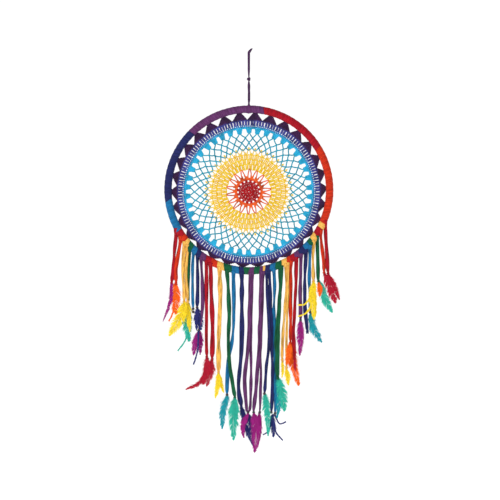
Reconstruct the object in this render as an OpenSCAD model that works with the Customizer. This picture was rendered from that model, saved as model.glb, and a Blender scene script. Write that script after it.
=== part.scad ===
// Dream catcher: a fabric-wrapped ring with a crocheted round web, hung from a looped strip,
// with fabric ribbons, beads and feathers hanging from the lower half of the ring.
// The part hangs: its origin is the inside top of the hanging loop, +Z is up, the front faces -Y.

/* [Ring] */
// Diameter of the ring, measured through the middle of its tube
ring_d = 400; // [396:1:404]
// Thickness of the bare cane ring inside the wrapping
core_d = 15; // [12:0.5:16]
// Thickness of the ring with its fabric wrapping
tube_d = 19; // [18.5:0.5:20]
// Height from the middle of the ring to the inside top of the hanging loop
hang_h = 346.5; // [344:0.5:350]

/* [Web] */
// Thickness of the crocheted web
web_t = 2.4; // [1.6:0.2:4]
// How far the middle of the web sits below the middle of the ring
web_sag = 4.5; // [0:0.5:6]
// Radius of the red centre
centre_r = 27; // [24:1:29]
// Outer radius of the orange round
orange_r = 33; // [31:1:35]
// Outer radius of the round of petals
petal_r = 55; // [50:1:58]
// Outer radius of the yellow rounds
yellow_r = 99; // [96:1:101]
// Outer radius of the turquoise net
net_r = 160; // [158:1:162]
// Outer radius of the blue border
border_r = 178; // [170:1:180]
// Openings around the web
columns = 42; // [36:2:48]
// Petals around the web
petals = 18; // [12:1:20]
// Triangles that tie the web to the ring
triangles = 30; // [20:1:36]
// Width of a triangle's tip where it is sewn to the ring
triangle_tip = 15; // [6:1:20]

/* [Hanger] */
// Width of the hanging strip
strip_w = 6; // [5:0.5:7]
// Thickness of the hanging strip
strip_t = 1.8; // [1:0.2:2.4]
// Diameter of the knot in the hanging strip
knot_d = 10; // [8:0.5:12]
// Height of the knot below the inside top of the loop
knot_drop = 72; // [70:1:76]
// Width of the hitch that holds the strip on the ring
hitch_w = 8; // [6:1:10]

/* [Strands] */
// Thickness of a ribbon
ribbon_t = 1.6; // [0.8:0.2:1.8]
// Gap between a ribbon's top edge and the ring
ribbon_gap = 1.2; // [1:0.1:2]
// Diameter of a bead
bead_d = 7.5; // [6:0.5:7.5]
// Thickness of a feather
feather_t = 1.4; // [0.8:0.2:1.4]
// Width of a feather's bare quill
quill_w = 2; // [1:0.5:3]

/* [Hidden] */
$fn = 64;

ring_r = ring_d / 2;
ring_z = -hang_h;
outer_r = ring_r + tube_d / 2;
inner_r = ring_r - tube_d / 2;
hitch_t = 2;
tail_gap = 0.8;
loop_gap = 0.5;
loop_half_w = 9;
sub_steps = 3;
feather_steps = 9;

PALETTE = [
    ["purple", [0.44, 0.20, 0.47]], ["crimson", [0.78, 0.08, 0.14]], ["vermilion", [0.90, 0.20, 0.10]],
    ["navy", [0.16, 0.20, 0.43]], ["blue", [0.12, 0.51, 0.75]], ["yellow", [0.98, 0.76, 0.35]],
    ["green", [0.08, 0.43, 0.24]], ["orange", [1.0, 0.43, 0.04]], ["turquoise", [0.27, 0.78, 0.63]],
    ["teal", [0.08, 0.63, 0.67]], ["magenta", [0.67, 0.08, 0.51]], ["lemon", [0.98, 0.86, 0.16]],
    ["plum", [0.24, 0.08, 0.31]], ["sky", [0.20, 0.71, 0.86]], ["violet", [0.35, 0.31, 0.67]],
    ["black", [0.10, 0.09, 0.11]], ["cane", [0.76, 0.60, 0.38]]
];

// Coloured bands of the wrapping, as degrees clockwise from the top of the ring
LONG_BANDS = [
    ["purple", -45, 10.7], ["crimson", 10.7, 58.8], ["vermilion", 58.8, 114],
    ["blue", 239.8, 262.6], ["navy", 262.6, 315]
];
SHORT_BANDS = [
    ["yellow", 114, 118], ["crimson", 118, 124], ["yellow", 124, 128.5], ["green", 128.5, 132],
    ["blue", 132, 136.5], ["navy", 136.5, 141.5], ["purple", 141.5, 145.5], ["crimson", 145.5, 149],
    ["vermilion", 149, 152], ["yellow", 152, 156], ["green", 156, 161], ["blue", 161, 165],
    ["navy", 165, 168.4], ["yellow", 168.4, 170], ["purple", 170, 172.5], ["green", 172.5, 176.5],
    ["purple", 176.5, 180], ["green", 180, 183.5], ["navy", 183.5, 187], ["blue", 187, 192],
    ["green", 192, 198], ["yellow", 198, 203], ["vermilion", 203, 207.5], ["crimson", 207.5, 212],
    ["purple", 212, 216.5], ["navy", 216.5, 220], ["blue", 220, 224], ["green", 224, 228],
    ["yellow", 228, 231.2], ["vermilion", 231.2, 235], ["crimson", 235, 239.8]
];

// Ribbons: strand, colour, width, depth, x where it leaves the ring, then its route as [x, z]
RIBBONS = [
    [1, "crimson", 9.8, 0, -180, [[-184, -502], [-187, -549], [-191, -572]]],
    [1, "vermilion", 10.4, -2.4, -169, [[-177, -517], [-181, -544], [-180, -572]]],
    [1, "yellow", 9, 0, -159, [[-162, -520], [-163, -569], [-160, -618]]],
    [1, "yellow", 8, 2.4, -152, [[-155, -530], [-154, -582], [-152, -617]]],
    [1, "green", 7.4, 4.8, -146.5, [[-148, -525], [-150, -569], [-150, -624]]],
    [2, "blue", 7.6, 0, -137, [[-139.5, -544], [-139.5, -594], [-138, -636]]],
    [3, "navy", 9, 0, -127, [[-126.5, -559], [-127, -595], [-128, -633]]],
    [3, "purple", 8.7, 0, -118, [[-115, -573], [-115, -639], [-123, -690]]],
    [4, "crimson", 8.8, 0, -105, [[-105, -627], [-105, -693], [-104, -755]]],
    [4, "crimson", 11, 0, -95, [[-91, -644], [-90, -705], [-91, -760]]],
    [5, "yellow", 11, 0, -72, [[-71, -616], [-74, -700], [-75, -794]]],
    [6, "green", 9.6, -1.2, -54, [[-49, -644], [-50, -744], [-40, -829], [-35, -856]]],
    [6, "blue", 9, 1.2, -38, [[-37, -644], [-41, -715], [-51, -772], [-54, -849]]],
    [7, "navy", 11, 0, -18, [[-17, -644], [-18, -730], [-25, -829], [-19, -879]]],
    [7, "purple", 9.6, -1.2, 4, [[2, -644], [-2, -730], [-10, -814], [-5, -892]]],
    [7, "purple", 7.5, 1.2, 9, [[6, -644], [5, -740], [5, -858], [2, -892]]],
    [7, "purple", 9.6, -1.2, 31, [[28, -644], [26, -730], [18, -829], [12, -892]]],
    [7, "purple", 6.6, 1.2, 36, [[33, -644], [29, -742], [30, -804], [27, -892]]],
    [8, "navy", 8.4, 0, 44, [[48, -644], [50, -730], [43, -787], [39, -846]]],
    [8, "navy", 8.4, 2.4, 50, [[55, -644], [56, -742], [59, -817], [56, -892]]],
    [8, "blue", 8.4, 4.8, 62, [[64, -594], [62, -660], [64, -760], [66, -840], [65, -895]]],
    [8, "green", 9.8, -1.2, 78, [[76, -616], [68, -730], [71, -806]]],
    [8, "green", 6.6, -3.6, 82, [[78, -616], [73, -730], [73, -806]]],
    [9, "yellow", 7.6, 0, 91, [[94, -588], [86, -673], [82.5, -762]]],
    [9, "yellow", 6.6, -2.4, 96.5, [[96.5, -594], [95, -644], [93, -730], [93, -781]]],
    [9, "vermilion", 9.4, 2.4, 104, [[103, -616], [103, -670], [103, -720]]],
    [9, "crimson", 8.8, 0, 117.5, [[115, -616], [111, -700], [113, -758]]],
    [10, "purple", 9.2, 0, 129, [[127, -588], [128, -630], [128, -664]]],
    [10, "navy", 9.2, 0, 141, [[138.5, -588], [139, -641], [144, -692]]],
    [10, "blue", 8.3, 0, 151, [[149.5, -559], [151, -600], [152, -645]]],
    [10, "yellow", 8.2, 0, 160, [[159, -515], [160, -568]]],
    [11, "green", 8.6, 2.4, 169.2, [[171, -531], [172, -568]]],
    [11, "vermilion", 9, 0, 178, [[184, -517], [186, -547]]],
    [11, "crimson", 9.4, 0, 189, [[193.5, -507], [196, -549]]]
];

// Beads and knots at the ribbons' lower ends: strand, colour, then [x, y, z]
BEADS = [
    [1, "crimson", [-191, 0, -576.5]], [1, "vermilion", [-180, -2.4, -576.5]],
    [1, "yellow", [-160, 0, -622.5]], [1, "yellow", [-151.5, 0, -621.5]],
    [1, "green", [-150, 7.5, -629]],
    [2, "black", [-138, 0, -640.5]], [2, "black", [-137.6, 0, -648.2]],
    [3, "black", [-128, 0, -637.5]], [3, "black", [-124, 0, -694.5]],
    [4, "crimson", [-104, 0, -759.5]], [4, "crimson", [-91, 0, -764.5]],
    [5, "yellow", [-75, 0, -798.5]],
    [6, "green", [-34.5, -1.2, -860.5]], [6, "black", [-54, 1.2, -853.5]],
    [7, "navy", [-18.5, 0, -883.5]], [7, "black", [-2, 0, -897]],
    [7, "black", [12, -1.2, -897]], [7, "black", [27, 1.2, -897]],
    [8, "black", [38.5, 0, -850.5]], [8, "black", [55.5, 2.4, -896.8]],
    [8, "black", [65, 4.8, -899.8]], [8, "green", [72, -2.4, -811]],
    [9, "yellow", [83, 0, -766.5]], [9, "yellow", [93, -2.4, -785.5]],
    [9, "vermilion", [103, 2.4, -724.5]], [9, "crimson", [113.5, 0, -762.5]],
    [10, "black", [128, 0, -668.5]], [10, "navy", [145, 0, -696.5]], [10, "black", [152, 0, -649.5]],
    [10, "yellow", [160, 0, -572.5]],
    [11, "green", [172.5, 0, -572.5]], [11, "vermilion", [186.5, 0, -551.5]], [11, "crimson", [196.5, 0, -553.5]]
];

// Feathers: strand, colour, half width, depth, then quill end, middle and tip as [x, z]
FEATHERS = [
    [1, "orange", 14, -3, [[-181, -582], [-181, -614], [-182, -653]]],
    [1, "magenta", 5, 0, [[-191.5, -582], [-196, -628], [-213, -673]]],
    [1, "orange", 1.5, 3, [[-184, -600], [-187, -645], [-198, -671]]],
    [1, "lemon", 15, -5.4, [[-160, -628], [-171, -663], [-197, -708]]],
    [1, "lemon", 8, 2.4, [[-151.5, -628], [-149, -660], [-146, -698]]],
    [1, "turquoise", 13, 5, [[-150.5, -634], [-154, -678], [-148, -722]]],
    [1, "turquoise", 1.5, 8, [[-148, -690], [-158, -720], [-176, -745]]],
    [3, "navy", 10.5, -3, [[-126.5, -643], [-122, -666], [-119, -693]]],
    [3, "navy", 6, -6, [[-128, -643], [-130, -668], [-129, -694]]],
    [3, "magenta", 9, 0, [[-125, -700], [-132, -726], [-137, -756]]],
    [3, "purple", 7, 3, [[-121.5, -699], [-119.5, -724], [-121, -755]]],
    [3, "plum", 1.5, -3, [[-124.5, -700], [-127, -745], [-137, -778]]],
    [4, "crimson", 11, -3, [[-104, -765], [-103, -795], [-114, -828]]],
    [4, "crimson", 10, 0, [[-92, -770], [-94.5, -797], [-105, -833]]],
    [4, "crimson", 7.5, 3, [[-103, -770], [-116, -818], [-157, -841]]],
    [5, "lemon", 7.5, -1, [[-75.5, -804], [-77.5, -832], [-83, -862]]],
    [5, "lemon", 6, 2, [[-74, -804], [-69, -826], [-62, -849]]],
    [6, "turquoise", 14, -3, [[-35, -866], [-38, -908], [-38, -966]]],
    [6, "turquoise", 5, -6, [[-34, -868], [-30.5, -888], [-29, -914]]],
    [6, "teal", 10, 1.2, [[-54.5, -859], [-64, -896], [-66, -939]]],
    [7, "magenta", 7, -6, [[-4, -903], [-15, -930], [-12, -960]]],
    [7, "navy", 8, 6, [[-17, -889], [-6, -938], [16, -989]]],
    [7, "plum", 9, 3, [[-1, -903], [6, -932], [12, -966]]],
    [7, "magenta", 13, -3, [[13, -903], [18, -940], [14, -996.5]]],
    [7, "magenta", 7, 0, [[26, -903], [26.5, -938], [22, -985]]],
    [8, "turquoise", 10, -3, [[40, -856], [45, -901], [48, -956]]],
    [8, "blue", 8, 2.4, [[59, -906], [60, -930], [61, -959]]],
    [8, "navy", 2, 5.4, [[56, -912], [50, -941], [35.5, -953]]],
    [8, "navy", 1.5, 5.4, [[66, -906], [76, -925], [92, -921]]],
    [8, "navy", 1.5, -0.6, [[60, -915], [67, -945], [84, -966]]],
    [8, "turquoise", 12, -4, [[74.5, -817], [83.5, -854], [88, -894]]],
    [8, "teal", 9, 0, [[73, -817], [76, -862], [70, -912]]],
    [9, "lemon", 7, 0, [[93, -791], [96, -807], [98, -830]]],
    [9, "lemon", 4.5, -1, [[83, -772], [84, -791], [82, -812]]],
    [9, "orange", 8, -5.2, [[101, -729], [98.5, -752], [93, -779]]],
    [9, "orange", 13, 4.6, [[104, -730], [110, -774], [124, -832]]],
    [9, "crimson", 4, 0, [[113.5, -768], [114, -780], [115, -796]]],
    [10, "magenta", 9.5, 0, [[128, -674], [127.5, -713], [126, -757]]],
    [10, "teal", 11.5, 3, [[153.5, -655], [160, -689], [181, -724]]],
    [10, "lemon", 10, -4.6, [[160, -578], [156.5, -612], [161, -668]]],
    [10, "lemon", 6, 0.6, [[161, -579], [163, -622], [165, -662]]],
    [10, "lemon", 1.5, -6.9, [[152, -612], [138, -629], [121, -631]]],
    [10, "lemon", 1.5, -6.9, [[153, -636], [140, -652], [121, -659]]],
    [11, "orange", 6.5, -1, [[173, -578], [175.5, -592], [175, -610]]],
    [11, "turquoise", 11.5, 3, [[175, -577], [188, -614], [207, -650]]],
    [11, "crimson", 11, -3, [[189, -558], [202, -592], [215, -627]]],
    [11, "crimson", 8, 0, [[198, -559], [212, -588], [225, -619]]]
];

function shade(name) = [for (entry = PALETTE) if (entry[0] == name) entry[1]][0];

// A smooth curve through the points p, with sub_n short steps between each two of them
function knot_at(p, i) = p[max(0, min(len(p) - 1, i))];
function bend(p, i, u) =
    let (a = knot_at(p, i - 1), b = knot_at(p, i), c = knot_at(p, i + 1), d = knot_at(p, i + 2))
    0.5 * (2 * b + (c - a) * u + (2 * a - 5 * b + 4 * c - d) * pow(u, 2)
        + (3 * b - a - 3 * c + d) * pow(u, 3));
function smooth(p, sub_n) = concat(
    [for (i = [0 : len(p) - 2]) for (s = [0 : sub_n - 1]) bend(p, i, s / sub_n)],
    [p[len(p) - 1]]);

// The point beside curve point i, at a signed distance to its side
function beside(q, i, distance) =
    let (along = knot_at(q, i + 1) - knot_at(q, i - 1), unit = along / norm(along))
    q[i] + distance * [-unit[1], unit[0]];

// Height just under the ring at x
function under_ring(x) = ring_z - sqrt(pow(outer_r + ribbon_gap, 2) - x * x);

// Outline of a strip of constant width whose top edge follows the underside of the ring
function ribbon_outline(w, top_x, route) =
    let (q = smooth(concat([[top_x, under_ring(top_x)]], route), sub_steps), n = len(q) - 1)
    concat(
        [[top_x + w / 2, under_ring(top_x + w / 2)]],
        [for (i = [1 : n]) beside(q, i, w / 2)],
        [for (i = [n : -1 : 1]) beside(q, i, -w / 2)],
        [[top_x - w / 2, under_ring(top_x - w / 2)]]);

// Half width of a feather at a fraction t of its length: narrow quill, full vane, pointed tip
function vane(t, half_w) = max(quill_w / 2 * (1 - 0.6 * t), half_w * pow(sin(180 * pow(t, 0.85)), 0.8));
function feather_outline(half_w, route) =
    let (q = smooth(route, feather_steps), n = len(q) - 1)
    concat(
        [for (i = [0 : n]) beside(q, i, vane(i / n, half_w))],
        [for (i = [n : -1 : 0]) beside(q, i, -vane(i / n, half_w))]);

// Stands a flat outline drawn as [x, z] upright, with its middle at depth y
module upright(y, thick) {
    translate([0, y + thick / 2, 0])
        rotate([90, 0, 0])
            linear_extrude(thick)
                children();
}

// One band of fabric round the tube, from angle a to angle b clockwise from the top
module band(a, b) {
    translate([0, 0, ring_z])
        rotate([90, 0, 0])
            rotate([0, 0, 90 - b])
                rotate_extrude(angle = b - a, $fn = 180)
                    translate([ring_r, 0])
                        difference() {
                            circle(d = tube_d);
                            circle(d = core_d);
                        }
}

module long_band(name) {
    for (entry = LONG_BANDS)
        if (entry[0] == name)
            color(shade(name)) band(entry[1], entry[2]);
}

module short_bands(name) {
    for (entry = SHORT_BANDS)
        if (entry[0] == name)
            color(shade(name)) band(entry[1], entry[2]);
}

module ring_core() {
    color(shade("cane"))
        translate([0, 0, ring_z])
            rotate([90, 0, 0])
                rotate_extrude($fn = 180)
                    translate([ring_r, 0])
                        circle(d = core_d);
}

// Strip folded over the hook, standing edge-on to the front
module hanging_loop() {
    leg_z = knot_drop - knot_d / 2 - loop_gap;
    top_z = strip_t / 2;
    route = [
        [-1.5, -leg_z], [-6, -50], [-loop_half_w, -22], [-6.5, -4], [0, top_z],
        [6.5, -4], [loop_half_w, -22], [6, -50], [1.5, -leg_z]
    ];
    q = smooth(route, 4);
    n = len(q) - 1;
    outline = concat(
        [for (i = [0 : n]) beside(q, i, strip_t / 2)],
        [for (i = [n : -1 : 0]) beside(q, i, -strip_t / 2)]);
    color(shade("plum"))
        rotate([0, 0, 90])
            upright(0, strip_w)
                polygon(outline);
}

module hanger_knot() {
    color(shade("plum"))
        translate([0, 0, -knot_drop])
            sphere(d = knot_d);
}

// Two layers of strip between the knot and the hitch
module hanger_tail() {
    tail_top = -knot_drop - knot_d / 2 - tail_gap / 2;
    tail_foot = ring_z + outer_r + hitch_t + tail_gap;
    color(shade("plum"))
        translate([-strip_w / 2, -strip_t, tail_foot])
            cube([strip_w, 2 * strip_t, tail_top - tail_foot]);
}

// Turns of the strip round the top of the ring
module hanger_hitch() {
    color(shade("plum"))
        translate([0, 0, ring_z + ring_r])
            rotate([0, 90, 0])
                difference() {
                    cylinder(h = hitch_w, d = tube_d + 2 * hitch_t, center = true);
                    cylinder(h = hitch_w + 1, d = tube_d + 0.1, center = true);
                }
}

// Places a flat round of the web, drawn about its own middle
module web_round(name) {
    color(shade(name))
        translate([0, 0, ring_z - web_sag])
            upright(0, web_t)
                children();
}

module annulus(outer, inner) {
    difference() {
        circle(r = outer, $fn = 128);
        circle(r = inner, $fn = 128);
    }
}

// Repeats its child n times round the middle, starting at a fraction of one pitch
module around(n, start = 0) {
    for (i = [0 : n - 1])
        rotate([0, 0, 360 * (i + start) / n])
            children();
}

// Four-cornered opening, r_mid from the middle
module opening(r_mid, long_w, cross_w) {
    polygon([[r_mid - long_w / 2, 0], [r_mid, cross_w / 2], [r_mid + long_w / 2, 0], [r_mid, -cross_w / 2]]);
}

module web_centre() {
    web_round("crimson") circle(r = centre_r, $fn = 96);
}

module web_orange_round() {
    web_round("vermilion") annulus(orange_r, centre_r);
}

module web_petals() {
    web_round("orange")
        difference() {
            annulus(petal_r, orange_r);
            around(petals) opening((petal_r + orange_r) / 2, petal_r - orange_r - 4, 11);
        }
}

module web_yellow_rounds() {
    slit_l = 10;
    slit_w = 2.4;
    web_round("lemon")
        difference() {
            annulus(yellow_r, petal_r);
            for (row = [0 : 2])
                around(columns, row / 2) opening(petal_r + 8 + 13 * row, slit_l, slit_w);
        }
}

module web_net() {
    row_pitch = 12;
    web_round("sky")
        difference() {
            annulus(net_r, yellow_r);
            for (row = [0 : 2])
                around(columns, row / 2) opening(yellow_r + 10 + row_pitch * row, 15, 11 + 1.5 * row);
            around(columns, 1 / 2) opening(net_r - 12, 18, 13);
        }
}

module web_border() {
    web_round("violet") annulus(border_r, net_r);
}

// Solid triangles between the border and the ring, each with its blunt tip sewn to the tube
module web_triangles() {
    half_base = 180 / triangles - 0.4;
    half_tip = triangle_tip / 2 / inner_r * 180 / PI;
    tip_r = inner_r - 0.05;
    first = 7.2;
    color(shade("plum"))
        translate([0, 0, ring_z])
            upright(0, web_t)
                for (i = [0 : triangles - 1])
                    let (mid = 90 + first - 360 * i / triangles, foot = border_r + 0.1)
                        polygon(concat(
                            [for (s = [-1 : 0.5 : 1])
                                let (turn = mid + s * half_base)
                                    [foot * cos(turn), foot * sin(turn) - web_sag]],
                            [for (s = [1, -1])
                                let (turn = mid + s * half_tip)
                                    [tip_r * cos(turn), tip_r * sin(turn)]]));
}

module strand_ribbons(strand) {
    for (entry = RIBBONS)
        if (entry[0] == strand)
            color(shade(entry[1]))
                upright(entry[3], ribbon_t)
                    polygon(ribbon_outline(entry[2], entry[4], entry[5]));
}

module strand_beads(strand) {
    for (entry = BEADS)
        if (entry[0] == strand)
            color(shade(entry[1]))
                translate(entry[2])
                    sphere(d = bead_d);
}

module strand_feathers(strand) {
    for (entry = FEATHERS)
        if (entry[0] == strand)
            color(shade(entry[1]))
                upright(entry[3], feather_t)
                    polygon(feather_outline(entry[2], entry[4]));
}

hanging_loop();
hanger_knot();
hanger_tail();
hanger_hitch();
ring_core();
long_band("purple");  // wrap_purple
long_band("crimson");  // wrap_crimson
long_band("vermilion");  // wrap_vermilion
long_band("blue");  // wrap_blue
long_band("navy");  // wrap_navy
short_bands("yellow");  // turns_yellow
short_bands("vermilion");  // turns_vermilion
short_bands("crimson");  // turns_crimson
short_bands("green");  // turns_green
short_bands("blue");  // turns_blue
short_bands("navy");  // turns_navy
short_bands("purple");  // turns_purple
web_centre();
web_orange_round();
web_petals();
web_yellow_rounds();
web_net();
web_border();
web_triangles();
strand_ribbons(1);  // strand_1_ribbons
strand_beads(1);  // strand_1_beads
strand_feathers(1);  // strand_1_feathers
strand_ribbons(2);  // strand_2_ribbons
strand_beads(2);  // strand_2_beads
strand_ribbons(3);  // strand_3_ribbons
strand_beads(3);  // strand_3_beads
strand_feathers(3);  // strand_3_feathers
strand_ribbons(4);  // strand_4_ribbons
strand_beads(4);  // strand_4_beads
strand_feathers(4);  // strand_4_feathers
strand_ribbons(5);  // strand_5_ribbons
strand_beads(5);  // strand_5_beads
strand_feathers(5);  // strand_5_feathers
strand_ribbons(6);  // strand_6_ribbons
strand_beads(6);  // strand_6_beads
strand_feathers(6);  // strand_6_feathers
strand_ribbons(7);  // strand_7_ribbons
strand_beads(7);  // strand_7_beads
strand_feathers(7);  // strand_7_feathers
strand_ribbons(8);  // strand_8_ribbons
strand_beads(8);  // strand_8_beads
strand_feathers(8);  // strand_8_feathers
strand_ribbons(9);  // strand_9_ribbons
strand_beads(9);  // strand_9_beads
strand_feathers(9);  // strand_9_feathers
strand_ribbons(10);  // strand_10_ribbons
strand_beads(10);  // strand_10_beads
strand_feathers(10);  // strand_10_feathers
strand_ribbons(11);  // strand_11_ribbons
strand_beads(11);  // strand_11_beads
strand_feathers(11);  // strand_11_feathers
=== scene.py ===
"""Dream catcher with a crocheted web, hanging in front of a white studio backdrop."""

import math

import bpy
import numpy as np
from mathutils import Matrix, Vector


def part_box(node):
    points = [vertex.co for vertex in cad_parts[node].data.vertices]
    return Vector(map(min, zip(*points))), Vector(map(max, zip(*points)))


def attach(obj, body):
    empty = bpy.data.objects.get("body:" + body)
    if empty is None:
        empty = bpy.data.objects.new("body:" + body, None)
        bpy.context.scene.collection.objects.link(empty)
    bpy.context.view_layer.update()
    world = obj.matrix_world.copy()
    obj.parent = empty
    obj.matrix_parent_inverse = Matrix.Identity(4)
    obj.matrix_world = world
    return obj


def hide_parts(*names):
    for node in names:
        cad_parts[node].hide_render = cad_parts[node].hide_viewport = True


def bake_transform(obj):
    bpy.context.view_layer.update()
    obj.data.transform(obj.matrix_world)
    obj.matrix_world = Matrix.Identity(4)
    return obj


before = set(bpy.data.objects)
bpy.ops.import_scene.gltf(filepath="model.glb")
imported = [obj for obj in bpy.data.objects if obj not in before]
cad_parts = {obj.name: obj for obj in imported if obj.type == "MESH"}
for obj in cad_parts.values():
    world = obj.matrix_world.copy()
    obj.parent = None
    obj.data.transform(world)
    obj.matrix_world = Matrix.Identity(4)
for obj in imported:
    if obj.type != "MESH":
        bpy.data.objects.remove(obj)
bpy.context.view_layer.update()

MM = 0.001
CLOTH_REPEAT = 8 * MM
FRONT_BACK = np.array([0.0, 1.0, 0.0])
ACROSS = np.array([1.0, 0.0, 0.0])

# ---------------------------------------------------------------- places read from the frame


def middle(node):
    """Middle point of a CAD node's box."""
    low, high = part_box(node)
    return np.array((low + high) / 2)


CORE_LOW, CORE_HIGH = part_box("ring_core")
CORE_R = (CORE_HIGH.y - CORE_LOW.y) / 2
RING_R = (CORE_HIGH.x - CORE_LOW.x) / 2 - CORE_R
RING_Z = float(middle("ring_core")[2])
TUBE_R = 9.5 * MM
WEB_Z = float(middle("web_border")[2])
KNOT = middle("hanger_knot")
TAIL_LOW, TAIL_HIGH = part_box("hanger_tail")

# ---------------------------------------------------------------- the design's own lists, in mm

# Coloured bands of the wrapping, in degrees clockwise from the top of the ring
LONG_BANDS = [
    ("purple", -45, 10.7), ("crimson", 10.7, 58.8), ("vermilion", 58.8, 114),
    ("blue", 239.8, 262.6), ("navy", 262.6, 315),
]
SHORT_BANDS = [
    ("yellow", 114, 118), ("crimson", 118, 124), ("yellow", 124, 128.5), ("green", 128.5, 132),
    ("blue", 132, 136.5), ("navy", 136.5, 141.5), ("purple", 141.5, 145.5), ("crimson", 145.5, 149),
    ("vermilion", 149, 152), ("yellow", 152, 156), ("green", 156, 161), ("blue", 161, 165),
    ("navy", 165, 168.4), ("yellow", 168.4, 170), ("purple", 170, 172.5), ("green", 172.5, 176.5),
    ("purple", 176.5, 180), ("green", 180, 183.5), ("navy", 183.5, 187), ("blue", 187, 192),
    ("green", 192, 198), ("yellow", 198, 203), ("vermilion", 203, 207.5), ("crimson", 207.5, 212),
    ("purple", 212, 216.5), ("navy", 216.5, 220), ("blue", 220, 224), ("green", 224, 228),
    ("yellow", 228, 231.2), ("vermilion", 231.2, 235), ("crimson", 235, 239.8),
]

# Ribbons: strand, colour, width, depth, x where it leaves the ring, then its route as (x, z)
RIBBONS = [
    (1, "crimson", 9.8, 0, -180, [(-184, -502), (-187, -549), (-191, -572)]),
    (1, "vermilion", 10.4, -2.4, -169, [(-177, -517), (-181, -544), (-180, -572)]),
    (1, "yellow", 9, 0, -159, [(-162, -520), (-163, -569), (-160, -618)]),
    (1, "yellow", 8, 2.4, -152, [(-155, -530), (-154, -582), (-152, -617)]),
    (1, "green", 7.4, 4.8, -146.5, [(-148, -525), (-150, -569), (-150, -624)]),
    (2, "blue", 7.6, 0, -137, [(-139.5, -544), (-139.5, -594), (-138, -636)]),
    (3, "navy", 9, 0, -127, [(-126.5, -559), (-127, -595), (-128, -633)]),
    (3, "purple", 8.7, 0, -118, [(-115, -573), (-115, -639), (-123, -690)]),
    (4, "crimson", 8.8, 0, -105, [(-105, -627), (-105, -693), (-104, -755)]),
    (4, "crimson", 11, 0, -95, [(-91, -644), (-90, -705), (-91, -760)]),
    (5, "yellow", 11, 0, -72, [(-71, -616), (-74, -700), (-75, -794)]),
    (6, "green", 9.6, -1.2, -54, [(-49, -644), (-50, -744), (-40, -829), (-35, -856)]),
    (6, "blue", 9, 1.2, -38, [(-37, -644), (-41, -715), (-51, -772), (-54, -849)]),
    (7, "navy", 11, 0, -18, [(-17, -644), (-18, -730), (-25, -829), (-19, -879)]),
    (7, "purple", 9.6, -1.2, 4, [(2, -644), (-2, -730), (-10, -814), (-5, -892)]),
    (7, "purple", 7.5, 1.2, 9, [(6, -644), (5, -740), (5, -858), (2, -892)]),
    (7, "purple", 9.6, -1.2, 31, [(28, -644), (26, -730), (18, -829), (12, -892)]),
    (7, "purple", 6.6, 1.2, 36, [(33, -644), (29, -742), (30, -804), (27, -892)]),
    (8, "navy", 8.4, 0, 44, [(48, -644), (50, -730), (43, -787), (39, -846)]),
    (8, "navy", 8.4, 2.4, 50, [(55, -644), (56, -742), (59, -817), (56, -892)]),
    (8, "blue", 8.4, 4.8, 62, [(64, -594), (62, -660), (64, -760), (66, -840), (65, -895)]),
    (8, "green", 9.8, -1.2, 78, [(76, -616), (68, -730), (71, -806)]),
    (8, "green", 6.6, -3.6, 82, [(78, -616), (73, -730), (73, -806)]),
    (9, "yellow", 7.6, 0, 91, [(94, -588), (86, -673), (82.5, -762)]),
    (9, "yellow", 6.6, -2.4, 96.5, [(96.5, -594), (95, -644), (93, -730), (93, -781)]),
    (9, "vermilion", 9.4, 2.4, 104, [(103, -616), (103, -670), (103, -720)]),
    (9, "crimson", 8.8, 0, 117.5, [(115, -616), (111, -700), (113, -758)]),
    (10, "purple", 9.2, 0, 129, [(127, -588), (128, -630), (128, -664)]),
    (10, "navy", 9.2, 0, 141, [(138.5, -588), (139, -641), (144, -692)]),
    (10, "blue", 8.3, 0, 151, [(149.5, -559), (151, -600), (152, -645)]),
    (10, "yellow", 8.2, 0, 160, [(159, -515), (160, -568)]),
    (11, "green", 8.6, 2.4, 169.2, [(171, -531), (172, -568)]),
    (11, "vermilion", 9, 0, 178, [(184, -517), (186, -547)]),
    (11, "crimson", 9.4, 0, 189, [(193.5, -507), (196, -549)]),
]

# Knots and beads at the ribbons' lower ends: strand, colour, then (x, y, z)
BEADS = [
    (1, "crimson", (-191, 0, -576.5)), (1, "vermilion", (-180, -2.4, -576.5)),
    (1, "yellow", (-160, 0, -622.5)), (1, "yellow", (-151.5, 0, -621.5)),
    (1, "green", (-150, 7.5, -629)),
    (2, "black", (-138, 0, -640.5)), (2, "black", (-137.6, 0, -648.2)),
    (3, "black", (-128, 0, -637.5)), (3, "black", (-124, 0, -694.5)),
    (4, "crimson", (-104, 0, -759.5)), (4, "crimson", (-91, 0, -764.5)),
    (5, "yellow", (-75, 0, -798.5)),
    (6, "green", (-34.5, -1.2, -860.5)), (6, "black", (-54, 1.2, -853.5)),
    (7, "navy", (-18.5, 0, -883.5)), (7, "black", (-2, 0, -897)),
    (7, "black", (12, -1.2, -897)), (7, "black", (27, 1.2, -897)),
    (8, "black", (38.5, 0, -850.5)), (8, "black", (55.5, 2.4, -896.8)),
    (8, "black", (65, 4.8, -899.8)), (8, "green", (72, -2.4, -811)),
    (9, "yellow", (83, 0, -766.5)), (9, "yellow", (93, -2.4, -785.5)),
    (9, "vermilion", (103, 2.4, -724.5)), (9, "crimson", (113.5, 0, -762.5)),
    (10, "black", (128, 0, -668.5)), (10, "navy", (145, 0, -696.5)), (10, "black", (152, 0, -649.5)),
    (10, "yellow", (160, 0, -572.5)),
    (11, "green", (172.5, 0, -572.5)), (11, "vermilion", (186.5, 0, -551.5)),
    (11, "crimson", (196.5, 0, -553.5)),
]

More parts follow.
